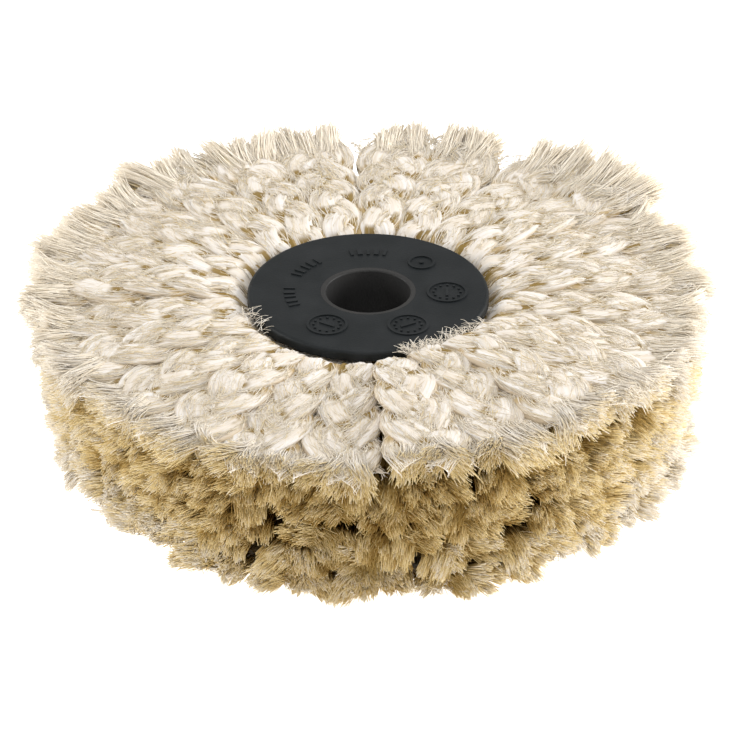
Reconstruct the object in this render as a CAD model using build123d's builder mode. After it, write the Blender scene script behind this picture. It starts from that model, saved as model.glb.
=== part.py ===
from build123d import *
import math
import os

os.makedirs("parts", exist_ok=True)

# A polishing wheel of plaited sisal cords held in a moulded hub.
# All sizes are in millimetres. The origin is the middle of the bore, and +Z runs along the bore
# towards the front flange, which carries the moulded marks.

# ---------------------------------------------------------------- driving dimensions
bore_radius = 12.7
hub_width = 50.0
flange_radius = 36.3
flange_thickness = 3.4
rim_radius = 100.0
rim_width = 50.0
tier_names = ("rear", "middle", "front")
cords_per_tier = 24
cords_per_node = 2

# hub details
sleeve_wall = 1.6
bore_edge_round = 0.6
fit_gap = 0.05
boss_wall = 1.8
boss_depth = 6.0
flange_edge_round = 1.2
flange_inner_round = 0.4

# moulded marks on the front flange
mark_height = 0.4
mark_circle_radius = 23.7
mark_line = 0.8
large_mark_radius = 6.2
large_mark_bar = 5.0
dot_circle_radius = 4.0
small_mark_radius = 4.2
large_mark_angles = (-2.0, -60.0, -121.0)
small_mark_angle = 47.0
bar_group_angles = (90.0, 143.0, 189.0)
bar_widths = (0.9, 1.5, 0.9, 1.5, 0.9)
bar_height = 3.4
bar_step = 6.2
dot_count = 12
dot_radius = 0.42

# wire rings and the cords folded over them
ring_radius = 24.0
wire_radius = 2.0
wire_gap = 0.1
cord_gap = 0.3
leg_gap = 0.4
side_gap_angle = 0.4
tier_turn = 5.0
first_cord_angle = -7.0
tip_round = 2.5
tip_variation = 1.5
tip_step = 7
tip_steps = 5
fold_eye_end = 31.0
flare_offset = 1.5
leg_slot_overrun = 1.0

# ---------------------------------------------------------------- derived dimensions
half_hub = hub_width / 2
sleeve_radius = bore_radius + sleeve_wall
socket_radius = sleeve_radius + fit_gap
boss_radius = socket_radius + boss_wall
plate_inside = half_hub - flange_thickness
tier_count = len(tier_names)
tier_pitch_hub = 2 * plate_inside / tier_count
tier_pitch_rim = rim_width / tier_count
fold_half = (tier_pitch_hub - cord_gap) / 2
rim_half = (tier_pitch_rim - cord_gap) / 2
cord_angle = 360.0 / cords_per_tier
flare_start = flange_radius + flare_offset
leg_slot_end = rim_radius + leg_slot_overrun


# ---------------------------------------------------------------- core sleeve
# A plain tube through the whole hub. Its ends are flush with the flanges, and its bore is the arbor hole.
with BuildPart() as core_sleeve:
    with BuildSketch(Plane.XY.offset(-half_hub)):
        Circle(sleeve_radius)
        Circle(bore_radius, mode=Mode.SUBTRACT)
    extrude(amount=hub_width)
    bore_edges = core_sleeve.edges().filter_by(GeomType.CIRCLE).filter_by(
        lambda edge: edge.radius < sleeve_radius - fit_gap
    )
    fillet(bore_edges, radius=bore_edge_round)
core_sleeve.part.label = "core_sleeve"
export_step(core_sleeve.part, "parts/core_sleeve.step")


# ---------------------------------------------------------------- flanges
# Each flange is a round plate with a short socket that sits on the sleeve.
for side, name in ((1, "front_flange"), (-1, "rear_flange")):
    with BuildPart() as flange:
        with BuildSketch(Plane.XZ):
            with BuildLine():
                Polyline(
                    (socket_radius, side * half_hub),
                    (flange_radius, side * half_hub),
                    (flange_radius, side * plate_inside),
                    (boss_radius, side * plate_inside),
                    (boss_radius, side * (plate_inside - boss_depth)),
                    (socket_radius, side * (plate_inside - boss_depth)),
                    close=True,
                )
            make_face()
        revolve(axis=Axis.Z)
        outer_edges = flange.edges().filter_by(GeomType.CIRCLE).filter_by(
            lambda edge: edge.radius > flange_radius - fit_gap
        )
        outer_edges = outer_edges.sort_by(lambda edge: side * edge.center().Z)
        fillet(outer_edges[-1], radius=flange_edge_round)
        rim_edges = flange.edges().filter_by(GeomType.CIRCLE).filter_by(
            lambda edge: edge.radius > flange_radius - fit_gap
        )
        fillet(rim_edges.sort_by(lambda edge: side * edge.center().Z)[0], radius=flange_inner_round)

        if name == "front_flange":
            with BuildSketch(Plane.XY.offset(half_hub)):
                # round marks: a ring, a circle of dots inside it and a short bar across the middle
                for angle in large_mark_angles:
                    with PolarLocations(mark_circle_radius, 1, start_angle=angle):
                        Circle(large_mark_radius)
                        Circle(large_mark_radius - mark_line, mode=Mode.SUBTRACT)
                        Rectangle(mark_line, large_mark_bar)
                    with PolarLocations(mark_circle_radius, 1, start_angle=angle):
                        with PolarLocations(dot_circle_radius, dot_count):
                            Circle(dot_radius)
                # the small ring with a dot in it
                with PolarLocations(mark_circle_radius, 1, start_angle=small_mark_angle):
                    Circle(small_mark_radius)
                    Circle(small_mark_radius - mark_line, mode=Mode.SUBTRACT)
                    Circle(mark_line)
                # groups of upright bars
                for group_angle in bar_group_angles:
                    for index, width in enumerate(bar_widths):
                        bar_angle = group_angle + (index - len(bar_widths) // 2) * bar_step
                        with PolarLocations(mark_circle_radius, 1, start_angle=bar_angle):
                            Rectangle(bar_height, width)
            extrude(amount=mark_height)
    flange.part.label = name
    export_step(flange.part, f"parts/{name}.step")


# ---------------------------------------------------------------- tiers of cords
for tier, tier_name in enumerate(tier_names):
    level = tier - (tier_count - 1) / 2
    hub_z = level * tier_pitch_hub
    rim_z = level * tier_pitch_rim

    # the wire ring that the tier's cords are folded over
    with BuildPart() as retaining_ring:
        with BuildSketch(Plane.XZ):
            with Locations((ring_radius, hub_z)):
                Circle(wire_radius)
        revolve(axis=Axis.Z)
    retaining_ring.part.label = f"retaining_ring_{tier_name}"
    export_step(retaining_ring.part, f"parts/retaining_ring_{tier_name}.step")

    # Each cord is a wedge-shaped sector: a fold round the wire, and two legs that run out to the rim.
    for node in range(cords_per_tier // cords_per_node):
        with BuildPart() as cords:
            for cord in range(node * cords_per_node, (node + 1) * cords_per_node):
                start_angle = first_cord_angle + tier * tier_turn + cord * cord_angle + side_gap_angle / 2
                start = math.radians(start_angle)
                radial_plane = Plane(
                    origin=(0, 0, 0),
                    x_dir=(math.cos(start), math.sin(start), 0),
                    z_dir=(math.sin(start), -math.cos(start), 0),
                )
                # the tips are uneven: their lengths step through tip_steps values in a shuffled order
                shortening = tip_variation * (cord * tip_step % tip_steps) / (tip_steps - 1)
                tip_radius = rim_radius - shortening
                with BuildSketch(radial_plane) as folded_profile:
                    with BuildLine():
                        ThreePointArc(
                            (ring_radius, hub_z - fold_half),
                            (ring_radius - fold_half, hub_z),
                            (ring_radius, hub_z + fold_half),
                        )
                        Polyline(
                            (ring_radius, hub_z + fold_half),
                            (flare_start, hub_z + fold_half),
                            (tip_radius, rim_z + rim_half),
                            (tip_radius, rim_z - rim_half),
                            (flare_start, hub_z - fold_half),
                            (ring_radius, hub_z - fold_half),
                        )
                    make_face()
                    with Locations((ring_radius, hub_z)):
                        Circle(wire_radius + wire_gap, mode=Mode.SUBTRACT)
                    with BuildLine():
                        Polyline(
                            (ring_radius, hub_z + wire_radius),
                            (fold_eye_end, hub_z + leg_gap / 2),
                            (flare_start, hub_z + leg_gap / 2),
                            (leg_slot_end, rim_z + leg_gap / 2),
                            (leg_slot_end, rim_z - leg_gap / 2),
                            (flare_start, hub_z - leg_gap / 2),
                            (fold_eye_end, hub_z - leg_gap / 2),
                            (ring_radius, hub_z - wire_radius),
                            close=True,
                        )
                    make_face(mode=Mode.SUBTRACT)
                    fillet(folded_profile.vertices().group_by(Axis.X)[-1], radius=tip_round)
                revolve(axis=Axis.Z, revolution_arc=cord_angle - side_gap_angle)
        cords.part.label = f"cord_pair_{tier_name}_{node + 1:02d}"
        export_step(cords.part, f"parts/cord_pair_{tier_name}_{node + 1:02d}.step")
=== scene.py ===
import math

import bpy
import numpy as np
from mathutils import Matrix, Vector


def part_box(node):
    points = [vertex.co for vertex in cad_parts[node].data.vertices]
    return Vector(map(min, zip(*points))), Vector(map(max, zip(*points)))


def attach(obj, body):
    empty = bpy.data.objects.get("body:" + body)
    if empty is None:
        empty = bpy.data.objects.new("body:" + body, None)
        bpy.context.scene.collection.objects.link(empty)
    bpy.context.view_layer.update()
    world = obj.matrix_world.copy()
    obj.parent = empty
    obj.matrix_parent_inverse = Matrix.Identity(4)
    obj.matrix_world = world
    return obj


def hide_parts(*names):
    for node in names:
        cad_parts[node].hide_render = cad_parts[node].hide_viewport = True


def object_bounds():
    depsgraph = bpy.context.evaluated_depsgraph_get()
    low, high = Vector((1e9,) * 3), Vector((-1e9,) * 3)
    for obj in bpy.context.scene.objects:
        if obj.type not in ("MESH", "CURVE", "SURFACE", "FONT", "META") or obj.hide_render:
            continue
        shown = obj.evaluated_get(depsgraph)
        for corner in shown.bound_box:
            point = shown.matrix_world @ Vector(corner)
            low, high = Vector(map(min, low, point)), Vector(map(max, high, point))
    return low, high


# A polishing wheel of plaited sisal cords in a black moulded hub.
# The object's lengths are in millimetres here, and a mesh is turned into metres when it is made.
# The wheel's axis is Z. +Z is the front, with the flange that carries the marks, and the camera is at -Y.

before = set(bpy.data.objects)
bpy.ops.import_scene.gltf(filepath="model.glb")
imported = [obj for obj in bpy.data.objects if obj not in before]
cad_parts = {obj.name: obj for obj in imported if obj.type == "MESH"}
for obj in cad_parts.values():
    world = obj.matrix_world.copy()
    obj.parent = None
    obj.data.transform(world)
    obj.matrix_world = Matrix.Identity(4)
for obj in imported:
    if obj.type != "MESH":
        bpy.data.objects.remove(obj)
cad_box = [list(corner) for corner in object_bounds()]
MM = 0.001


def box_mm(node):
    low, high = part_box(node)
    return np.array(low) / MM, np.array(high) / MM


# ------------------------------------------------------------------ sizes from the frame
HALF_HUB = box_mm("core_sleeve")[1][2]
FLANGE_RADIUS = box_mm("front_flange")[1][0]
RING_LOW, RING_HIGH = box_mm("retaining_ring_front")
WIRE_RADIUS = (RING_HIGH[2] - RING_LOW[2]) / 2
RING_RADIUS = RING_HIGH[0] - WIRE_RADIUS
TIER_PITCH_HUB = (RING_HIGH[2] + RING_LOW[2]) / 2
RIM_RADIUS = cad_box[1][0] / MM

TIERS = {"rear": -1, "middle": 0, "front": 1}
TIER_PITCH_RIM = 2 * HALF_HUB / len(TIERS)
NODES_PER_TIER = sum(node.startswith("cord_pair_front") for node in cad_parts)
CORDS_PER_NODE = 2
CORD_ANGLE = 360.0 / (NODES_PER_TIER * CORDS_PER_NODE)
TIER_TURN = 5.0
FIRST_CORD_ANGLE = -7.0

# What sets single upper legs of the front tier apart, by cord number: how far the tip reaches past the
# others, how far the tip and the whole leg stand up, how tightly the tuft is gathered, its lean sideways,
# and how many loose fibres it throws over the flange's edge.
LEG_HABITS = {
    0: {"reach": 0.5, "tip": 0.5},
    1: {"reach": 2.5, "tip": 2.0, "gather": 0.95, "lean": -1.0},
    2: {"reach": 5.0, "tip": 5.0, "rise": 1.0, "lean": -3.2, "gather": 1.0},
    3: {"reach": 3.0, "tip": 4.0, "gather": 0.68, "lean": -3.2},
    4: {"reach": 1.0, "tip": 3.0, "gather": 0.58, "lean": 0.8},
    5: {"reach": 2.0, "tip": 2.5, "gather": 0.5, "lean": -1.0},
    6: {"reach": -0.5, "tip": 2.0, "gather": 0.75, "lean": 2.0},
    7: {"reach": -1.0, "tip": 2.0},
    8: {"reach": 2.0, "tip": 2.5, "lean": 0.5},
    9: {"reach": 1.0, "tip": 0.5, "lean": -0.8},
    10: {"reach": 2.5, "tip": 0.5},
    13: {"wisps": 26, "rise": 1.2},
    14: {"wisps": 6, "rise": 0.6},
    17: {"gather": 0.8, "lean": -1.5},
    18: {"rise": 1.0, "gather": 0.8, "lean": 1.0},
    19: {"wisps": 170, "rise": 3.4},
    20: {"wisps": 70, "rise": 3.4},
    21: {"wisps": 25, "rise": 2.2},
}

# ------------------------------------------------------------------ plait
STRANDS = 3
PLAIT_PERIOD = 43.0
PLAIT_OVERLAP = 1.1
FOLD_BEND = TIER_PITCH_HUB / 4
FOLD_LENGTH = FOLD_BEND * math.pi / 2

# Where the plait ends and opens into its tufts: on the front legs, with a little more on the cords that
# face -Y, on the rear legs, and on the legs between others, which show only their tufts.
BRAID_END = 96.0
NEAR_BRAID_EXTRA = 0.5
REAR_BRAID_END = 90.0
HIDDEN_BRAID_END = 88.5

# How much one cord differs from the next: its angle in degrees, its period as a share, its shift sideways
# and up at the tip, and the width of its tufts as a share. The lower leg's share is at most GATHER_STEP
# above the upper leg's.
ANGLE_SPREAD = 0.5
PERIOD_RANGE = (0.92, 1.1)
DRIFT_SPREAD = 0.9
LIFT_SPREAD = 0.9
GATHER_RANGE = (0.88, 1.06)
GATHER_STEP = 0.2

# Smooth steps in a leg's height: height gained, radius where the step starts, and the distance it takes.
# An outer leg swells past the flange and sinks again, and an inner leg fills the space behind it.
FRONT_SWELL = (4.2, FLANGE_RADIUS, 5.5)
REAR_SWELL = (3.0, FLANGE_RADIUS, 5.5)
OUTER_SINK = (-3.4, 46, 44)
INNER_SWELL = (2.6, FLANGE_RADIUS, 8)
INNER_SINK = (-2.6, 50, 30)
REAR_TIP_RISE = (0.6, 76, 26)

# The same steps without their height, which differs from leg to leg: the tiers' spread from hub to rim, the
# droop of the front tips, a habit's rise and tip, and the random lift. The front tips droop by FRONT_DROOP,
# with up to FRONT_DROOP_TURN more towards -Y and less towards +Y.
FRONT_DROOP, FRONT_DROOP_TURN = 0.6, 0.8
SPREAD_STEP = (FLANGE_RADIUS, 32)
DROOP_STEP = (84, 18)
RISE_STEP = (FLANGE_RADIUS - 3, 8)
TIP_STEP = (74, 28)
LIFT_STEP = (FLANGE_RADIUS, 20)

# The rim leans in from front to rear, more where it faces -Y and -X. Where they face -Y, the frontmost
# legs are shorter and the rearmost legs longer than that.
RIM_LEAN, RIM_LEAN_NEAR, RIM_LEAN_LEFT = 5.6, 1.4, 1.8
FRONT_TRIM, REAR_EXTRA = 1.8, 2.2
RIM_OVERHANG = 1.0
TIP_SPREAD = 0.8

# A strand's course and section. Widths are shares of the plait's half width, which stops shrinking at
# WIDTH_FLOOR of the ring's radius, and the plait opens out over OPEN_OUT beyond the flange.
WIDTH_FLOOR = 0.75
OPEN_OUT = 16
THICKNESS, THICKNESS_GAIN = 3.25, 0.75
SWAY = 0.47
WEAVE = 0.14
DRIFT_STEP = (50, 45)
STRAND_WIDTH, STRAND_WIDTH_LOSS = 0.60, 0.04
STRAND_THICKNESS = 0.43
SWELL_SHARE, SWELL_RATE, SWELL_WAVES = 0.06, 0.6, [1.0, 1.9]
EDGE_ROUNDNESS, FACE_FLATNESS = 0.8, 0.62
STRAND_TAPER, TAPER_BEFORE_END, TAPER_LENGTH = 0.85, 7, 8
LONG_RIDGES, SHORT_RIDGES = (0.06, 12.0), (0.035, 3.0)
RIDGE_THICKENING = 2.2

# Sides of a strand and distance between its rings, where it is seen and where it is hidden.
SEEN_SIDES, SEEN_SPACING = 30, 1.0
HIDDEN_SIDES, HIDDEN_SPACING = 14, 2.6

# ------------------------------------------------------------------ loose fibres and tufts
FIBRE_SIDES = 3
FACE_FIBRES = {-1: 150, 1: 260}
HAIRS = 25
OUTER_FIBRES, INNER_FIBRES = 460, 430
OUTER_POINTS, INNER_POINTS = 4, 3

# A tuft: where the inner ones start, how far back in its plait an outer one does, and its half width and
# half thickness at shares of its length. WIDTH_HELD is the part of the width that gathering leaves alone.
TUFT_ROOT = 85.0
TUFT_ROOT_DEPTH = 6
TUFT_SHARES = [0.0, 0.4, 0.7, 1.0, 1.2]
TUFT_WIDE = [5.8, 5.2, 4.7, 4.7, 5.1]
TUFT_THICK = [2.5, 3.3, 4.2, 4.9, 5.4]
TUFT_BEND = 0.3
TUFT_REACH_SPREAD = 1.2
TUFT_BUNDLES, INNER_BUNDLES = 7, 4
WIDTH_HELD = 0.3

# How the front face's tufts and all other tufts are made: scatter of their tips sideways and up, raggedness
# and dome of the cut, pull of the bundles, bend of single fibres, and size as a share of the table's.
FRONT_TUFT = {
    "sideways": 0.7, "up": 0.7, "ragged": 0.09, "dome": 0.07, "pull": 0.25, "bend": 1.0, "size": 1.0
}
OTHER_TUFT = {
    "sideways": 1.1, "up": 1.7, "ragged": 0.06, "dome": 0.17, "pull": 0.42, "bend": 0.7, "size": 1.14
}

# The heart of a tuft: its sides, ridges and size as a share of the tuft's, and where it ends, also as a
# share. Outer hearts are short in the near half of the front face and in the far half of the rear face.
HEART_SIDES = 10
HEART_RIDGES = 0.1
OUTER_FILL, INNER_FILL = 0.7, 0.78
INNER_HEART_END, LONG_HEART_END, SHORT_HEART_END = 0.55, 0.6, 0.4
SHORT_HEART_FACING = -0.3

# The fibres of a tuft: how far out they and their bundles stand, squared, where they start and end as
# shares of its length, and their radii. Below RESTING_HEIGHT they are pressed flat, as on a table.
SPOT_RANGE, BUNDLE_RANGE = (0.03, 1.0), (0.1, 1.0)
FIBRE_START = (-0.25, 0.45)
FIBRE_END = 1.05
BUNDLE_DOME = 0.14
STRAY_SHARE, STRAY_REACH, STRAY_BEND = 0.02, 0.14, 1.2
TUFT_FIBRE_RADIUS = (0.12, 0.20)
TUFT_FIBRE_TAPER = ([0, 0.7, 1], [1, 1, 0.65])
CURL_POWER = 1.5
RESTING_HEIGHT, RESTING_SQUEEZE = -HALF_HUB - 1.2, 0.3

# ------------------------------------------------------------------ texture square
# Strands share two bands across its lower part, with U following the plait's phase, so that painted shade
# can depend on where a strand dives under another. Loose fibres have the top band, and U sets their colour:
# dark gold, for painted shade, at the left, pale at the right.
UV_EDGE = 0.01
UV_PERIOD = 0.21
UV_BAND = 0.30
UV_AROUND_STRAND = 0.28
FIBRE_BAND = (0.64, 0.98)
UV_AROUND_FIBRE = 0.006
UV_AROUND_HEART = 0.01
# Hidden strands run from gold to dark brown: painted shade where they show between others.
HIDDEN_STRAND_SHADE_U, UV_AROUND_HIDDEN = (0.45, 0.16), 0.1
FACE_FIBRE_U = (0.7, 0.95)
HAIR_U = (0.6, 0.95)
WISP_U = (0.8, 0.98)
# Inner hearts are dark gold, painted shade inside the tufts.
OUTER_HEART_U, INNER_HEART_SHADE_U = (0.75, -0.2), (0.12, 0.12)

# The U of a tuft's fibres, which paints light and shade: at the root, dark gold for painted shade, and the
# painted light that lying on an outer face adds to it; at the tip, by tier, paler lower down as painted
# light, with the painted shade that facing -Y and standing apart from a bundle take off it, and the painted
# light that lying on an outer face adds.
TUFT_ROOT_SHADE_U, FACE_ROOT_LIGHT_U = 0.33, 0.61
TUFT_TIP_U_TIER_LIGHT = {-1: 1.0, 0: 0.90, 1: 0.86}
NEAR_TIP_SHADE, APART_TIP_SHADE = 0.3, 0.3
FACE_TIP_LIGHT_U, FACE_TIP_LIGHT_FACING = 0.10, 0.06
TONE_RANGE, TONE_WEIGHT = (-0.06, 0.2), 0.8
FACE_START, FACE_DEPTH, REAR_FACE_LIGHT = 0.1, 0.6, 0.5

UP = np.array([0.0, 0.0, 1.0])
SEED = 8
rng = np.random.default_rng(SEED)


def start_noise(tier, index):
    """Gives each cord its own random stream, so that a change to one leaves the others alone."""
    rng.bit_generator.state = np.random.default_rng([SEED, tier + 1, index]).bit_generator.state


def smooth(t):
    t = np.clip(t, 0.0, 1.0)
    return t * t * (3 - 2 * t)


def step(radius, height, start, distance):
    """A smooth step of this height that begins at the radius start and takes the distance."""
    return height * smooth((radius - start) / distance)


# ------------------------------------------------------------------ mesh making
class Shell:
    """Collects closed tubes, and turns them into one mesh with a UV map."""

    def __init__(self):
        self.points = []
        self.corners = []
        self.sizes = []
        self.uvs = []
        self.count = 0

    def add_tubes(self, rings, along, around):
        """rings is tubes x rings x sides x 3. along gives U, as tubes x rings, and around gives V, as
        tubes x (sides + 1)."""
        tubes, ring_count, sides, _ = rings.shape
        index = self.count + np.arange(tubes * ring_count * sides).reshape(tubes, ring_count, sides)
        beside = np.roll(index, -1, axis=2)
        quads = np.stack([index[:, :-1], index[:, 1:], beside[:, 1:], beside[:, :-1]], axis=-1)
        u_low = np.broadcast_to(along[:, :-1, None], quads.shape[:3])
        u_high = np.broadcast_to(along[:, 1:, None], quads.shape[:3])
        v_low = np.broadcast_to(around[:, None, :-1], quads.shape[:3])
        v_high = np.broadcast_to(around[:, None, 1:], quads.shape[:3])
        quad_uv = np.stack(
            [
                np.stack([u_low, v_low], -1),
                np.stack([u_high, v_low], -1),
                np.stack([u_high, v_high], -1),
                np.stack([u_low, v_high], -1),
            ],
            axis=-2,
        )
        caps = np.concatenate([index[:, 0], index[:, -1, ::-1]])
        cap_u = np.concatenate([along[:, 0], along[:, -1]])
        cap_v = np.concatenate([around[:, :-1], around[:, -2::-1]])
        cap_uv = np.stack([np.broadcast_to(cap_u[:, None], cap_v.shape), cap_v], axis=-1)

        self.points.append(rings.reshape(-1, 3))
        self.corners += [quads.reshape(-1), caps.reshape(-1)]
        self.uvs += [quad_uv.reshape(-1, 2), cap_uv.reshape(-1, 2)]
        quad_count = tubes * (ring_count - 1) * sides
        self.sizes += [np.full(quad_count, 4), np.full(2 * tubes, sides)]
        self.count += tubes * ring_count * sides

    def make(self, name, material):
        points = np.concatenate(self.points) * MM
        corners = np.concatenate(self.corners).astype(np.int32)
        sizes = np.concatenate(self.sizes).astype(np.int32)
        mesh = bpy.data.meshes.new(name)
        mesh.vertices.add(len(points))
        mesh.vertices.foreach_set("co", points.astype(np.float32).ravel())
        mesh.loops.add(len(corners))
        mesh.loops.foreach_set("vertex_index", corners)
        mesh.polygons.add(len(sizes))
        starts = np.concatenate([[0], np.cumsum(sizes)[:-1]]).astype(np.int32)
        mesh.polygons.foreach_set("loop_start", starts)
        mesh.polygons.foreach_set("use_smooth", np.ones(len(sizes), dtype=bool))
        layer = mesh.uv_layers.new(name="OFBake")
        layer.data.foreach_set("uv", np.concatenate(self.uvs).astype(np.float32).ravel())
        mesh.materials.append(material)
        mesh.update()
        mesh.validate()
        piece = bpy.data.objects.new(name, mesh)
        bpy.context.scene.collection.objects.link(piece)
        return piece


def frames_along(path, reference):
    """Unit side and normal at each point of a path; reference leans towards the normal."""
    tangent = np.gradient(path, axis=-2)
    tangent /= np.linalg.norm(tangent, axis=-1, keepdims=True)
    side = np.cross(tangent, reference)
    side /= np.linalg.norm(side, axis=-1, keepdims=True)
    return side, np.cross(side, tangent)


def thin_tubes(shell, path, radius, reference, along):
    """Adds one thin closed fibre for each path: path is fibres x points x 3, radius fibres x points.
    along is the stretch of the texture, from root to tip, that the fibre takes its colours from.
    A flat side of each fibre faces the reference, which keeps its shading even."""
    side, normal = frames_along(path, reference)
    turn = math.pi / 2 + (np.arange(FIBRE_SIDES) - 0.5) * 2 * math.pi / FIBRE_SIDES
    ring = side[..., None, :] * np.cos(turn)[:, None] + normal[..., None, :] * np.sin(turn)[:, None]
    rings = path[..., None, :] + ring * radius[..., None, None]
    fibres, points = path.shape[:2]
    root, tip = (np.broadcast_to(end, fibres)[:, None] for end in along)
    u = root + (tip - root) * np.linspace(0, 1, points)
    v = rng.uniform(*FIBRE_BAND, (fibres, 1)) + np.linspace(0, UV_AROUND_FIBRE, FIBRE_SIDES + 1)
    shell.add_tubes(rings, u, v)


# ------------------------------------------------------------------ the course of a cord
def half_width(radius):
    """Half the width of a plait where it has a sector of the wheel to itself."""
    return PLAIT_OVERLAP * np.tan(math.radians(CORD_ANGLE / 2)) * radius


class Cord:
    """One plaited cord, folded round its ring. Its own axes are outward, sideways and up."""

    def __init__(self, tier_name, index):
        self.tier = TIERS[tier_name]
        turn = TIER_TURN * list(TIERS).index(tier_name)
        degrees = FIRST_CORD_ANGLE + turn + (index + 0.5) * CORD_ANGLE
        self.angle = math.radians(degrees + rng.normal(0, ANGLE_SPREAD))
        self.phase = rng.uniform(0, 2 * math.pi)
        self.period = PLAIT_PERIOD * rng.uniform(*PERIOD_RANGE)
        self.drift = rng.normal(0, DRIFT_SPREAD, 2)
        self.lift = rng.normal(0, LIFT_SPREAD, 2)
        self.gather = rng.uniform(*GATHER_RANGE, 2)
        self.uneven = rng.uniform(0, 2 * math.pi, (STRANDS, 2))
        self.facing = math.sin(self.angle)
        self.near = max(-self.facing, 0)
        habit = LEG_HABITS.get(index, {}) if self.tier == 1 else {}
        if "tip" in habit:
            self.lift[1] = 0.0
        self.reach = [0.0, habit.get("reach", 0.0)]
        self.tip = [0.0, habit.get("tip", 0.0)]
        self.rise = [0.0, habit.get("rise", 0.0)]
        self.drift[1] = habit.get("lean", self.drift[1])
        self.gather[1] = habit.get("gather", self.gather[1])
        self.gather[0] = min(self.gather[0], GATHER_STEP + self.gather[1])
        self.wisps = habit.get("wisps", 0)
        self.braid_end = BRAID_END + NEAR_BRAID_EXTRA * self.near if self.tier > 0 else REAR_BRAID_END

    def leg_height(self, radius, side):
        """Height of a leg's middle line. side is -1 for the lower leg and 1 for the upper one."""
        hub = self.tier * TIER_PITCH_HUB + side * TIER_PITCH_HUB / 4
        rim = self.tier * TIER_PITCH_RIM + side * TIER_PITCH_RIM / 4
        height = hub + step(radius, rim - hub, *SPREAD_STEP)
        outer = side * self.tier > 0
        if outer:
            swell = FRONT_SWELL if side > 0 else REAR_SWELL
            height = height + side * (step(radius, *swell) + step(radius, *OUTER_SINK))
        elif self.tier:
            height = height + self.tier * (step(radius, *INNER_SWELL) + step(radius, *INNER_SINK))
        if outer and side > 0:
            droop = max(FRONT_DROOP - FRONT_DROOP_TURN * self.facing, 0)
            height = height + step(radius, -droop, *DROOP_STEP)
        if outer and side < 0:
            height = height + step(radius, *REAR_TIP_RISE)
        leg = (side + 1) // 2
        height = height + step(radius, self.rise[leg], *RISE_STEP)
        height = height + step(radius, self.tip[leg], *TIP_STEP)
        return height + step(radius, self.lift[leg], *LIFT_STEP)

    def tip_radius(self, side):
        """Where a leg's tufts end. The rim leans in a little from the front to the rear."""
        level = (self.tier * 2 + side / 2 + 2.5) / 5    # 0 at the rearmost leg, 1 at the frontmost
        lean = RIM_LEAN - RIM_LEAN_NEAR * self.facing - RIM_LEAN_LEFT * math.cos(self.angle)
        lean *= 1 - level
        if self.tier * side > 0:
            lean += FRONT_TRIM * self.near if side > 0 else -REAR_EXTRA * self.near
        return RIM_RADIUS + RIM_OVERHANG - lean + self.reach[(side + 1) // 2] + rng.normal(0, TIP_SPREAD)

    def base(self, length):
        """Middle line of the cord: length is negative on the lower leg, 0 at the fold."""
        folded = np.abs(length) < FOLD_LENGTH
        turn = np.clip(length / FOLD_BEND, -math.pi / 2, math.pi / 2)
        radius = np.where(
            folded, RING_RADIUS - FOLD_BEND * np.cos(turn), RING_RADIUS + np.abs(length) - FOLD_LENGTH
        )
        fold_height = self.tier * TIER_PITCH_HUB + FOLD_BEND * np.sin(turn)
        upper = self.leg_height(radius, 1)
        lower = self.leg_height(radius, -1)
        height = np.where(folded, fold_height, np.where(length > 0, upper, lower))
        normal = np.stack([-np.cos(turn), np.zeros_like(turn), np.sin(turn)], axis=-1)
        return radius, height, normal

    def strand(self, length, number):
        """Path, section half-sizes and reference normal of one strand of the plait."""
        radius, height, normal = self.base(length)
        width = half_width(np.maximum(radius, RING_RADIUS * WIDTH_FLOOR))
        phase = self.phase + 2 * math.pi * (length / self.period + number / STRANDS)
        open_out = smooth((radius - FLANGE_RADIUS) / OPEN_OUT)
        thickness = THICKNESS + THICKNESS_GAIN * open_out
        sway = SWAY * width * np.sin(phase)
        weave = -thickness * WEAVE * np.sin(2 * phase)
        drift = step(radius, self.drift[(np.sign(length).astype(int) + 1) // 2], *DRIFT_STEP)
        path = np.stack([radius, sway + drift, height], axis=-1) + normal * weave[..., None]
        uneven = self.uneven[number] + SWELL_RATE * length[..., None] / self.period * 2 * math.pi
        swell = 1 + SWELL_SHARE * np.sin(uneven * SWELL_WAVES).sum(axis=-1)
        half_wide = width * (STRAND_WIDTH - STRAND_WIDTH_LOSS * open_out) * swell
        return path, half_wide, thickness * STRAND_THICKNESS, normal

    def texture_along(self, length, number):
        """U of the texture: a whole number of half turns of the plait, plus a point's place in its own."""
        phase = self.phase / (2 * math.pi) + length / self.period + number / STRANDS
        phase = phase - math.floor(2 * phase.min()) / 2
        return UV_EDGE + (phase + rng.integers(0, 2) / 2) * UV_PERIOD

    def place(self, points):
        """Turns points in the cord's own axes into wheel axes."""
        cosine, sine = math.cos(self.angle), math.sin(self.angle)
        out, side, up = points[..., 0], points[..., 1], points[..., 2]
        return np.stack([out * cosine - side * sine, out * sine + side * cosine, up], axis=-1)


def section_of(turn):
    """A strand's section: a flat ribbon with round edges, as across and up shares of its half sizes."""
    across, up = np.cos(turn), np.sin(turn)
    wide = np.sign(across) * np.abs(across) ** EDGE_ROUNDNESS
    return wide, np.sign(up) * np.abs(up) ** FACE_FLATNESS


def ridges_along(rings, sides, height, length):
    """Ridges that run along a strand: noise that changes fast around it and slowly along it."""
    knots = max(3, int(rings / length) + 2)
    rough = rng.normal(0, 1, (knots, sides))
    where = np.linspace(0, knots - 1.001, rings)
    low = where.astype(int)
    share = smooth(where - low)[:, None]
    return height * (rough[low] * (1 - share) + rough[low + 1] * share)


def leg_lengths(side, spacing, braid_end):
    """Places along a leg, from inside the fold to the end of its plait."""
    end = braid_end - RING_RADIUS + FOLD_LENGTH
    return side * np.linspace(-FOLD_LENGTH / 2, end, int(end / spacing) + 1)


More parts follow.
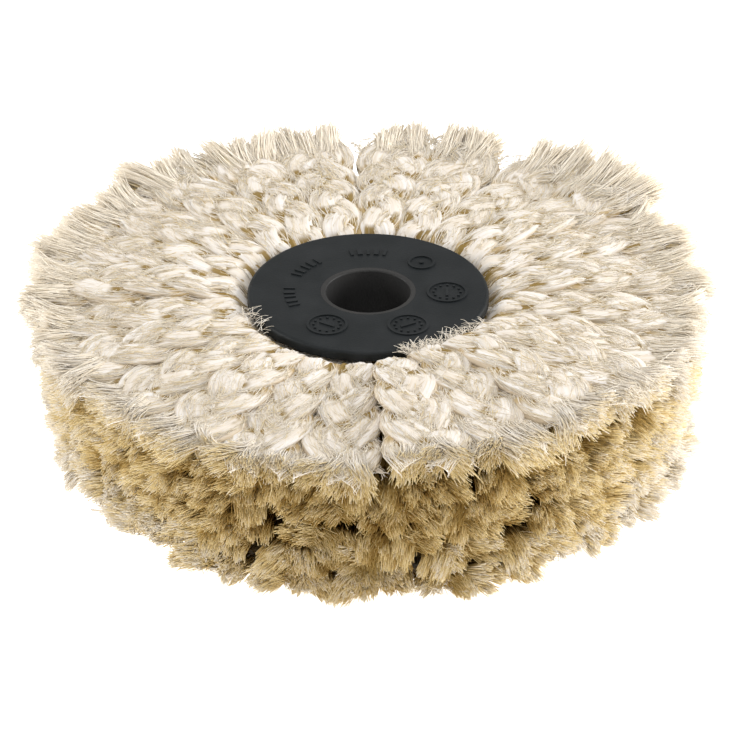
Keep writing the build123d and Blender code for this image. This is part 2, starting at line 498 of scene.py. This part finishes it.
def add_strand(shell, cord, side, number, seen):
    """One strand of a leg. A seen strand is finer, and its texture follows the plait."""
    braid_end = cord.braid_end if seen else HIDDEN_BRAID_END
    sides, spacing = (SEEN_SIDES, SEEN_SPACING) if seen else (HIDDEN_SIDES, HIDDEN_SPACING)
    lengths = leg_lengths(side, spacing, braid_end + 1)
    path, half_wide, half_thick, normal = cord.strand(lengths, number)
    beside, up = frames_along(path, normal)
    taper = 1 - step(path[:, 0], STRAND_TAPER, braid_end - TAPER_BEFORE_END, TAPER_LENGTH)
    turn = np.arange(sides) * 2 * math.pi / sides
    rings = len(lengths)
    ridges = 1 + ridges_along(rings, sides, *LONG_RIDGES) + ridges_along(rings, sides, *SHORT_RIDGES)
    across, upward = section_of(turn)
    wide = (half_wide * taper)[:, None] * across * ridges
    thick = (half_thick * taper)[:, None] * upward * (1 + RIDGE_THICKENING * (ridges - 1))
    section = path[:, None] + beside[:, None] * wide[..., None] + up[:, None] * thick[..., None]
    if seen:
        along = cord.texture_along(lengths, number)
        around = UV_EDGE + UV_BAND * rng.integers(0, 2) + UV_AROUND_STRAND * np.linspace(0, 1, sides + 1)
    else:
        # painted shade: hidden strands are gold to dark brown
        along = np.linspace(*HIDDEN_STRAND_SHADE_U, rings)
        low = rng.uniform(FIBRE_BAND[0], FIBRE_BAND[1] - UV_AROUND_HIDDEN)
        around = low + np.linspace(0, UV_AROUND_HIDDEN, sides + 1)
    shell.add_tubes(cord.place(section)[None], along[None], around[None])


# ------------------------------------------------------------------ loose fibres
def add_face_fibres(shell, cord, side, count):
    """Fibres that lie on the outer face of a leg's strands and lift off it at their ends."""
    # They start between first and the plait's end, crowded towards the end, and none reaches past last.
    first, spare, crowding = FOLD_LENGTH + 8, 34, 0.65
    last, overrun = FOLD_LENGTH + cord.braid_end + 1 - RING_RADIUS, 0.3
    reaches, radii, taper = (5, 18), (0.09, 0.17), 0.5
    around, straying, lifting = (-1.2, 1.2), 0.6, (0.0, 0.24)
    share = np.linspace(0, 1, 5)
    ends = (2 * share - 1) ** 2
    for number in range(STRANDS):
        start = first + (cord.braid_end - spare) * rng.uniform(0, 1, count) ** crowding
        reach = rng.uniform(*reaches, count)
        lengths = side * np.minimum(start[:, None] + reach[:, None] * share, last + overrun * share)
        path, half_wide, half_thick, normal = cord.strand(lengths, number)
        beside, up = frames_along(path, normal)
        turn = math.pi / 2 + rng.uniform(*around, (count, 1)) + rng.normal(0, straying, (count, 1)) * share
        lift = 1.0 + rng.uniform(*lifting, (count, 1)) * ends
        across, upward = section_of(turn)
        wide = half_wide * across * lift
        thick = half_thick * upward * lift
        laid = path + beside * wide[..., None] + up * thick[..., None]
        radius = rng.uniform(*radii, (count, 1)) * (1 - taper * ends)
        thin_tubes(shell, cord.place(laid), radius, cord.place(normal), FACE_FIBRE_U)


def add_loose_hairs(shell, cord, side, count):
    """Hairs that leave a strand where it crosses over, and run straight on across the plait's slits."""
    starts = (FOLD_LENGTH + 14, FOLD_LENGTH + 58)
    reaches, radii, besides = (5, 15), (0.08, 0.14), (-3, 3)
    above, veering, rises, bending = 1.02, 0.35, (0.2, 2.0), 1.5
    points = 5
    share = np.linspace(0, 1, points)[None, :, None]
    for number in range(STRANDS):
        start = side * rng.uniform(*starts, count)
        path, half_wide, half_thick, normal = cord.strand(start, number)
        heading = cord.strand(start + side, number)[0] - path
        heading -= normal * (heading * normal).sum(axis=-1, keepdims=True)
        heading /= np.linalg.norm(heading, axis=-1, keepdims=True)
        across = np.cross(normal, heading)
        veer = rng.normal(0, veering, (count, 1))
        reach = rng.uniform(*reaches, (count, 1, 1))
        begin = path + normal * (half_thick * above)[:, None] + across * rng.uniform(*besides, (count, 1))
        laid = begin[:, None] + (heading + across * veer)[:, None] * reach * share
        laid = laid + normal[:, None] * rng.uniform(*rises, (count, 1, 1)) * share**2
        laid = laid + across[:, None] * rng.normal(0, bending, (count, 1, 1)) * share**2
        radius = rng.uniform(*radii, (count, 1)) * np.linspace(1, 0.5, points)
        reference = cord.place(np.stack([normal] * points, 1))
        thin_tubes(shell, cord.place(laid), radius, reference, HAIR_U)


def quadratic(start, control, end, share):
    """Points of a curve with one control point."""
    return start * (1 - share) ** 2 + control * 2 * share * (1 - share) + end * share**2


def add_wisps(shell, cord, count):
    """Frayed fibres that curl up from a plait beside the hub and just over the edge of its flange."""
    besides, outs, heights = (-1.1, 1.1), (0.4, 6.0), (-0.8, 0.6)
    inwards, straying, rises, arches = (0.5, 4.5), 2.4, (0.2, 1.6), (0.5, 1.6)
    radii, points = (0.08, 0.15), 6
    beside = rng.uniform(*besides, count) * half_width(FLANGE_RADIUS)
    out = FLANGE_RADIUS + rng.uniform(*outs, count)
    root = np.stack([out, beside, HALF_HUB + rng.uniform(*heights, count)], axis=-1)
    inward = rng.uniform(*inwards, count)
    tip = root + np.stack([-inward, rng.normal(0, straying, count), rng.uniform(*rises, count)], axis=-1)
    crest = (root + tip) / 2
    crest[:, 2] += rng.uniform(*arches, count)
    share = np.linspace(0, 1, points)[None, :, None]
    laid = quadratic(root[:, None], crest[:, None], tip[:, None], share)
    radius = rng.uniform(*radii, (count, 1)) * np.linspace(1, 0.5, points)
    thin_tubes(shell, cord.place(laid), radius, UP, WISP_U)


# ------------------------------------------------------------------ tufts
class Tufts:
    """The frayed end of a leg: each strand opens into a dense, bluntly cut brush of fibres."""

    def __init__(self, cord, side):
        self.cord, self.side = cord, side
        leg = (side + 1) // 2
        self.gather = cord.gather[leg]
        self.outer = side == cord.tier
        self.front = self.outer and side > 0
        self.look = FRONT_TUFT if self.front else OTHER_TUFT
        reach = cord.tip_radius(side)
        root = cord.braid_end - TUFT_ROOT_DEPTH if self.outer else TUFT_ROOT
        root_length = np.array([side * (root + FOLD_LENGTH - RING_RADIUS)])
        self.roots = np.array([cord.strand(root_length, number)[0][0] for number in range(STRANDS)])
        order = np.argsort(np.argsort(self.roots[:, 1]))
        cell = half_width(reach) * 2 / STRANDS * self.gather
        tip_out = reach + rng.normal(0, TUFT_REACH_SPREAD, STRANDS)
        tip_beside = (order - 1) * cell + rng.normal(0, self.look["sideways"], STRANDS) + cord.drift[leg]
        tip_height = cord.leg_height(np.array([reach]), side)[0] + rng.normal(0, self.look["up"], STRANDS)
        self.tips = np.stack([tip_out, tip_beside, tip_height], axis=-1)
        self.middles = self.roots.copy()
        self.middles[:, 0] = (self.roots[:, 0] + self.tips[:, 0]) / 2
        self.middles[:, 1:] += TUFT_BEND * (self.tips[:, 1:] - self.roots[:, 1:])

    def centre(self, share):
        """Middle line of each tuft, at shares of its length."""
        return quadratic(self.roots[:, None], self.middles[:, None], self.tips[:, None], share[..., None])

    def add_hearts(self, shell):
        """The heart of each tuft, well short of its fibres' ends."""
        heart_end = INNER_HEART_END
        if self.outer:
            short = self.cord.facing * self.side <= SHORT_HEART_FACING
            heart_end = SHORT_HEART_END if short else LONG_HEART_END
        share = np.broadcast_to(np.linspace(0, heart_end, 5), (STRANDS, 5))
        fill = OUTER_FILL if self.outer else INNER_FILL
        wide = np.interp(share, TUFT_SHARES, TUFT_WIDE) * fill
        thick = np.interp(share, TUFT_SHARES, TUFT_THICK) * fill
        path = self.centre(share)
        beside, above = frames_along(path, UP)
        turn = np.arange(HEART_SIDES) * 2 * math.pi / HEART_SIDES
        ridges = 1 + HEART_RIDGES * rng.normal(0, 1, (STRANDS, 1, HEART_SIDES))
        rings = path[..., None, :]
        rings = rings + beside[..., None, :] * (wide[..., None] * np.cos(turn) * ridges)[..., None]
        rings = rings + above[..., None, :] * (thick[..., None] * np.sin(turn) * ridges)[..., None]
        # inner hearts are dark gold: painted shade
        first_u, gain_u = OUTER_HEART_U if self.outer else INNER_HEART_SHADE_U
        around = rng.uniform(*FIBRE_BAND, (STRANDS, 1)) + np.linspace(0, UV_AROUND_HEART, HEART_SIDES + 1)
        shell.add_tubes(self.cord.place(rings), first_u + gain_u * share, around)

    def add_fibres(self, shell, fibres, points):
        """The fibres: each keeps its place in the tuft's round section and leans towards its bundle."""
        look = self.look
        shape = (STRANDS, fibres, 1)
        spot_turn = rng.uniform(0, 2 * math.pi, shape)
        spot_out = np.sqrt(rng.uniform(*SPOT_RANGE, shape))
        across = spot_out * np.cos(spot_turn)
        upward = spot_out * np.sin(spot_turn)
        bundle_turn = rng.uniform(0, 2 * math.pi, (STRANDS, TUFT_BUNDLES))
        bundle_out = np.sqrt(rng.uniform(*BUNDLE_RANGE, (STRANDS, TUFT_BUNDLES)))
        bundles = np.stack([bundle_out * np.cos(bundle_turn), bundle_out * np.sin(bundle_turn)], axis=-1)
        if not self.front:
            bundles = bundles[:, :INNER_BUNDLES]
        spots = np.concatenate([across, upward], axis=-1)
        distances = np.linalg.norm(spots[:, :, None] - bundles[:, None], axis=-1)
        nearest = distances.argmin(axis=2)
        apart = np.zeros(shape) if self.front else distances.min(axis=2)[..., None]
        pull = np.take_along_axis(bundles, nearest[..., None], axis=1)

        start = rng.uniform(*FIBRE_START, shape)
        stray = rng.uniform(0, 1, shape) < (STRAY_SHARE if self.front or not self.outer else 0.0)
        end = FIBRE_END - look["dome"] * spot_out**2 - BUNDLE_DOME * apart
        end = end + rng.normal(0, look["ragged"], shape) + stray * rng.uniform(0, STRAY_REACH, shape)
        share = start + (end - start) * np.linspace(0, 1, points)
        pulled = look["pull"] * np.clip(share, 0, 1) ** 2
        laid = self.centre(share.reshape(STRANDS, -1)).reshape(STRANDS, fibres, points, 3)
        bend = rng.normal(0, look["bend"], (STRANDS, fibres, 2)) * (1 + STRAY_BEND * stray)
        curl = np.linspace(0, 1, points) ** CURL_POWER
        held = WIDTH_HELD + (1 - WIDTH_HELD) * self.gather
        wide = np.interp(share, TUFT_SHARES, TUFT_WIDE) * held * look["size"]
        thick = np.interp(share, TUFT_SHARES, TUFT_THICK) * look["size"]
        laid[..., 1] += wide * (across * (1 - pulled) + pull[..., :1] * pulled) + bend[..., :1] * curl
        laid[..., 2] += thick * (upward * (1 - pulled) + pull[..., 1:] * pulled) + bend[..., 1:] * curl
        below = np.minimum(laid[..., 2] - RESTING_HEIGHT, 0)
        laid[..., 2] -= (1 - RESTING_SQUEEZE) * below
        laid = laid.reshape(-1, points, 3)
        taper = np.interp(np.linspace(0, 1, points), *TUFT_FIBRE_TAPER)
        radius = rng.uniform(*TUFT_FIBRE_RADIUS, (len(laid), 1)) * taper
        along = self.fibre_colours(upward, apart, len(laid))
        thin_tubes(shell, self.cord.place(laid), radius, UP, along)

    def fibre_colours(self, upward, apart, count):
        """U of each fibre's root and tip, with painted light and shade: golden at the root, paler on an
        outer face and on lower tiers, and darker at the tips that face -Y.
        """
        # painted light: fibres lying on an outer face are paler, half as much on the rear face
        face_light = np.zeros(count)
        if self.outer:
            face_light = smooth((upward * self.side + FACE_START) / FACE_DEPTH).ravel()
        if self.side < 0:
            face_light = REAR_FACE_LIGHT * face_light
        tone = TONE_WEIGHT * rng.uniform(*TONE_RANGE, count)
        # painted shade: tips facing -Y and fibres standing apart from a bundle are darker; the tier adds
        # painted light, paler lower down
        tip_shade = NEAR_TIP_SHADE * self.cord.near + APART_TIP_SHADE * apart.ravel()
        golden = TUFT_TIP_U_TIER_LIGHT[self.cord.tier] - tip_shade
        face_gain = FACE_TIP_LIGHT_U + FACE_TIP_LIGHT_FACING * self.cord.facing
        return TUFT_ROOT_SHADE_U + FACE_ROOT_LIGHT_U * face_light, golden + face_gain * face_light + tone


def make_cords(tier_name, node_index, material):
    """Makes the piece that replaces one CAD node: its cords, with their fibres and tufts."""
    shell = Shell()
    tier = TIERS[tier_name]
    for index in range(node_index * CORDS_PER_NODE, (node_index + 1) * CORDS_PER_NODE):
        start_noise(tier, index)
        cord = Cord(tier_name, index)
        for side in (-1, 1):
            for number in range(STRANDS):
                add_strand(shell, cord, side, number, seen=side == tier)
        if tier:
            add_face_fibres(shell, cord, tier, FACE_FIBRES[tier])
        if tier > 0:
            add_loose_hairs(shell, cord, tier, HAIRS)
        if cord.wisps:
            add_wisps(shell, cord, cord.wisps)
        for side in (-1, 1):
            outer = side == tier
            tufts = Tufts(cord, side)
            tufts.add_hearts(shell)
            tufts.add_fibres(
                shell, OUTER_FIBRES if outer else INNER_FIBRES, OUTER_POINTS if outer else INNER_POINTS
            )
    node = f"cord_pair_{tier_name}_{node_index + 1:02d}"
    piece = shell.make(f"sisal_{tier_name}_{node_index + 1:02d}", material)
    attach(piece, "root")
    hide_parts(node)


# ------------------------------------------------------------------ materials
class Graph:
    """A new material, with short ways to add nodes to it and link them."""

    def __init__(self, name):
        self.material = bpy.data.materials.new(name)
        self.material.use_nodes = True
        self.nodes = self.material.node_tree.nodes
        self.links = self.material.node_tree.links

    def feed(self, socket, value):
        """Links a socket to another one, or sets it to a constant."""
        if isinstance(value, bpy.types.NodeSocket):
            self.links.new(value, socket)
        else:
            socket.default_value = value

    def feed_all(self, node, inputs):
        for name, value in inputs.items():
            self.feed(node.inputs[name], value)
        return node

    def surface(self, inputs):
        self.feed_all(self.nodes["Principled BSDF"], inputs)
        return self.material

    def add(self, kind, inputs):
        return self.feed_all(self.nodes.new(kind), inputs)

    def maths(self, operation, *values):
        node = self.nodes.new("ShaderNodeMath")
        node.operation = operation
        for socket, value in zip(node.inputs, values):
            self.feed(socket, value)
        return node.outputs[0]

    def remap(self, value, low, high, to_low=0.0, to_high=1.0):
        node = self.nodes.new("ShaderNodeMapRange")
        node.interpolation_type = "SMOOTHSTEP"
        for socket, item in zip(node.inputs, (value, low, high, to_low, to_high)):
            self.feed(socket, item)
        return node.outputs["Result"]

    def mix(self, factor, a, b, blend="MIX"):
        node = self.nodes.new("ShaderNodeMix")
        node.data_type = "RGBA"
        node.blend_type = blend
        sockets = {socket.name: socket for socket in node.inputs if socket.enabled}
        for name, value in (("Factor", factor), ("A", a), ("B", b)):
            self.feed(sockets[name], value)
        return next(socket for socket in node.outputs if socket.enabled)

    def ramp(self, value, stops):
        node = self.add("ShaderNodeValToRGB", {"Fac": value})
        elements = node.color_ramp.elements
        elements[0].position, elements[0].color = stops[0][0], (*stops[0][1], 1)
        elements[1].position, elements[1].color = stops[-1][0], (*stops[-1][1], 1)
        for position, colour in stops[1:-1]:
            elements.new(position).color = (*colour, 1)
        return node.outputs["Color"]

    def noise(self, vector, scale, detail, roughness=0.5):
        inputs = {"Vector": vector, "Scale": scale, "Detail": detail, "Roughness": roughness}
        return self.add("ShaderNodeTexNoise", inputs).outputs["Fac"]

    def streaks(self, uv, scale, detail):
        """Noise on the texture square, with its own scale along U and along V."""
        mapping = self.add("ShaderNodeMapping", {"Vector": uv, "Scale": (*scale, 1)})
        return self.noise(mapping.outputs["Vector"], 1.0, detail, 0.55)


WHITE = (1.0, 1.0, 1.0)
SISAL_PALE = (0.88, 0.85, 0.835)
SISAL_BODY = (0.83, 0.785, 0.73)
SISAL_SHADE = (0.74, 0.66, 0.54)
SISAL_STRAW = (0.80, 0.655, 0.36)
# Gold and dark brown are painted shade: in the plait's crossings and slits, on hidden strands, and deep in
# the tufts.
SISAL_GOLD_SHADE = (0.47, 0.32, 0.11)
SISAL_DEEP_SHADE = (0.27, 0.18, 0.055)
SISAL_FRAY = (0.98, 0.915, 0.81)
PATCH_TINT = (0.93, 0.88, 0.80)
FIBRE_TINT = (0.89, 0.84, 0.74)
FIBRE_COLOURS = [
    (0.0, SISAL_DEEP_SHADE), (0.4, SISAL_GOLD_SHADE), (0.6, SISAL_STRAW), (0.83, SISAL_BODY), (0.94, SISAL_FRAY)
]


def sisal_material():
    """Pale plant fibre: fine streaks along a strand, with painted shade in gold where it dives and at its
    tufts' roots.
    """
    graph = Graph("sisal")
    source = graph.nodes.new("ShaderNodeUVMap")
    source.uv_map = "OFBake"
    uv = source.outputs["UV"]
    split = graph.add("ShaderNodeSeparateXYZ", {"Vector": uv})
    u, v = split.outputs["X"], split.outputs["Y"]
    is_fibre = graph.maths("GREATER_THAN", v, (FIBRE_BAND[0] + 2 * UV_BAND) / 2)

    # a strand's pale body, with fine streaks along it and broader patches
    fine = graph.streaks(uv, (14, 260), 3.0)
    body = graph.ramp(fine, [(0.28, SISAL_SHADE), (0.45, SISAL_BODY), (0.66, SISAL_PALE)])
    patches = graph.ramp(graph.streaks(uv, (9, 22), 2.0), [(0.32, PATCH_TINT), (0.58, WHITE)])
    body = graph.mix(1.0, body, patches, "MULTIPLY")

    # painted shade: gold by depth in the plait, 0 on top and 1 underneath, and by how near a point is to a
    # strand's side
    angle = graph.maths("MULTIPLY", graph.maths("SUBTRACT", u, UV_EDGE), 4 * math.pi / UV_PERIOD)
    height = graph.maths("SINE", angle)
    depth_shade = graph.remap(height, 0.1, 0.85, 0.0, 0.8)
    band = graph.maths("DIVIDE", graph.maths("SUBTRACT", v, UV_EDGE), UV_BAND)
    turn = graph.maths("MULTIPLY", graph.maths("FRACT", band), 2 * math.pi * UV_BAND / UV_AROUND_STRAND)
    across = graph.maths("ABSOLUTE", graph.maths("COSINE", turn))
    edge_shade = graph.remap(across, 0.85, 1.0, 0.0, 0.5)
    body = graph.mix(graph.maths("MAXIMUM", depth_shade, edge_shade), body, (*SISAL_GOLD_SHADE, 1))

    # painted shadow: the dark slits beside a crossing, broken up so that they don't look drawn
    middle = graph.remap(across, 0.35, 0.8, 1.0, 0.0)
    patchy = graph.remap(graph.streaks(uv, (26, 60), 2.0), 0.38, 0.5)
    slit_shadow = graph.maths("MULTIPLY", graph.remap(height, -0.6, 0.0, 0.0, 0.95), middle)
    body = graph.mix(graph.maths("MULTIPLY", slit_shadow, patchy), body, (*SISAL_DEEP_SHADE, 1))

    # loose fibres take their colour from U, which carries their painted shade and painted light, and each
    # has a tint of its own from V
    tints = graph.ramp(graph.streaks(uv, (2, 330), 1.0), [(0.3, FIBRE_TINT), (0.6, WHITE)])
    fibre = graph.mix(1.0, graph.ramp(u, FIBRE_COLOURS), tints, "MULTIPLY")

    strength = graph.maths("MULTIPLY", graph.maths("SUBTRACT", 1.0, is_fibre), 0.5)
    grain = graph.streaks(uv, (20, 380), 2.0)
    bump = graph.add("ShaderNodeBump", {"Strength": strength, "Distance": 0.25 * MM, "Height": grain})
    return graph.surface(
        {
            "Base Color": graph.mix(is_fibre, body, fibre),
            "Normal": bump.outputs["Normal"],
            "Roughness": graph.remap(fine, 0.3, 0.7, 0.85, 0.68),
            "Specular IOR Level": 0.0,
        }
    )


def hub_material(name, dark, light):
    """Black moulded plastic with a faint bloom and fine grain."""
    graph = Graph(name)
    place = graph.nodes.new("ShaderNodeTexCoord").outputs["Object"]
    bloom = graph.noise(place, 90.0, 5.0)
    grain = graph.noise(place, 1400.0, 3.0)
    bump = graph.add("ShaderNodeBump", {"Strength": 0.25, "Distance": 0.2 * MM, "Height": grain})
    return graph.surface(
        {
            "Base Color": graph.ramp(bloom, [(0.35, dark), (0.7, light)]),
            "Normal": bump.outputs["Normal"],
            "Roughness": 0.5,
            "Specular IOR Level": 0.22,
        }
    )


def wire_material():
    graph = Graph("wire_steel")
    place = graph.nodes.new("ShaderNodeTexCoord").outputs["Object"]
    dull, bright = (0.42, 0.42, 0.43), (0.6, 0.6, 0.61)
    steel = graph.ramp(graph.noise(place, 300.0, 2.0), [(0.3, dull), (0.7, bright)])
    return graph.surface({"Base Color": steel, "Metallic": 1.0, "Roughness": 0.35})


def dress(node, material):
    """Gives a CAD node its material."""
    materials = bpy.data.objects[node].data.materials
    materials.clear()
    materials.append(material)


SISAL = sisal_material()
HUB = hub_material("hub_black", (0.008, 0.0105, 0.012), (0.0155, 0.018, 0.020))
SLEEVE = hub_material("sleeve_black", (0.026, 0.026, 0.026), (0.036, 0.035, 0.034))
WIRE = wire_material()

dress("front_flange", HUB)
dress("rear_flange", HUB)
dress("core_sleeve", SLEEVE)
for tier_name in TIERS:
    dress(f"retaining_ring_{tier_name}", WIRE)

# ------------------------------------------------------------------ cords
for tier_name in TIERS:
    for node_index in range(NODES_PER_TIER):
        make_cords(tier_name, node_index, SISAL)

# ------------------------------------------------------------------ stage, light and camera
# All in metres. Each lamp is a disc that faces the wheel: its place, its size and its power in watts.
FLOOR_GAP = 0.002
FLOOR_SIZE = 8.0
FLOOR_COLOUR = (0.93, 0.93, 0.93, 1)
WORLD_COLOUR, WORLD_STRENGTH = (1.0, 0.98, 0.945, 1), 0.54
LAMPS = {
    "overhead": ((0.0, 0.15, 1.2), 0.9, 4.6),
    "key": ((0.15, -0.8, 1.0), 0.8, 2.4),
    "left": ((-1.0, 0.1, 0.30), 0.6, 5.2),
    "right": ((1.0, 0.1, 0.30), 0.6, 9.5),
    "front": ((0.1, -1.3, 0.10), 0.8, 3.4),
}
CAMERA_TARGET = Vector((-0.0008, 0.0, -0.001))
CAMERA_DISTANCE = 1.5
CAMERA_ELEVATION = math.radians(30.5)
LENS, SENSOR_WIDTH = 244.0, 36.0


def add_floor():
    bpy.ops.mesh.primitive_plane_add(size=FLOOR_SIZE, location=(0, 0, cad_box[0][2] - FLOOR_GAP))
    floor = bpy.context.object
    floor.name = "floor"
    inputs = {
        "Base Color": FLOOR_COLOUR,
        "Roughness": 0.9,
        "Emission Color": (1, 1, 1, 1),
        "Emission Strength": 1.0,
    }
    floor.data.materials.append(Graph("floor_pale").surface(inputs))


def turn_towards(thing, direction):
    """Turns a lamp or camera, which both look along their own -Z."""
    thing.rotation_euler = direction.to_track_quat("-Z", "Y").to_euler()


def add_lights():
    bpy.context.scene.view_settings.view_transform = "Standard"
    world = bpy.data.worlds.new("world")
    world.use_nodes = True
    background = world.node_tree.nodes["Background"]
    background.inputs["Color"].default_value = WORLD_COLOUR
    background.inputs["Strength"].default_value = WORLD_STRENGTH
    bpy.context.scene.world = world
    for name, (location, size, power) in LAMPS.items():
        light = bpy.data.lights.new(name, "AREA")
        light.shape = "DISK"
        light.size = size
        light.energy = power
        lamp = bpy.data.objects.new(name, light)
        lamp.location = location
        turn_towards(lamp, Vector() - Vector(location))
        bpy.context.scene.collection.objects.link(lamp)


def add_camera():
    camera_data = bpy.data.cameras.new("camera")
    camera_data.lens = LENS
    camera_data.sensor_width = SENSOR_WIDTH
    camera = bpy.data.objects.new("camera", camera_data)
    back = Vector((0, -math.cos(CAMERA_ELEVATION), math.sin(CAMERA_ELEVATION)))
    camera.location = CAMERA_TARGET + back * CAMERA_DISTANCE
    turn_towards(camera, -back)
    bpy.context.scene.collection.objects.link(camera)
    bpy.context.scene.camera = camera


add_floor()
add_lights()
add_camera()
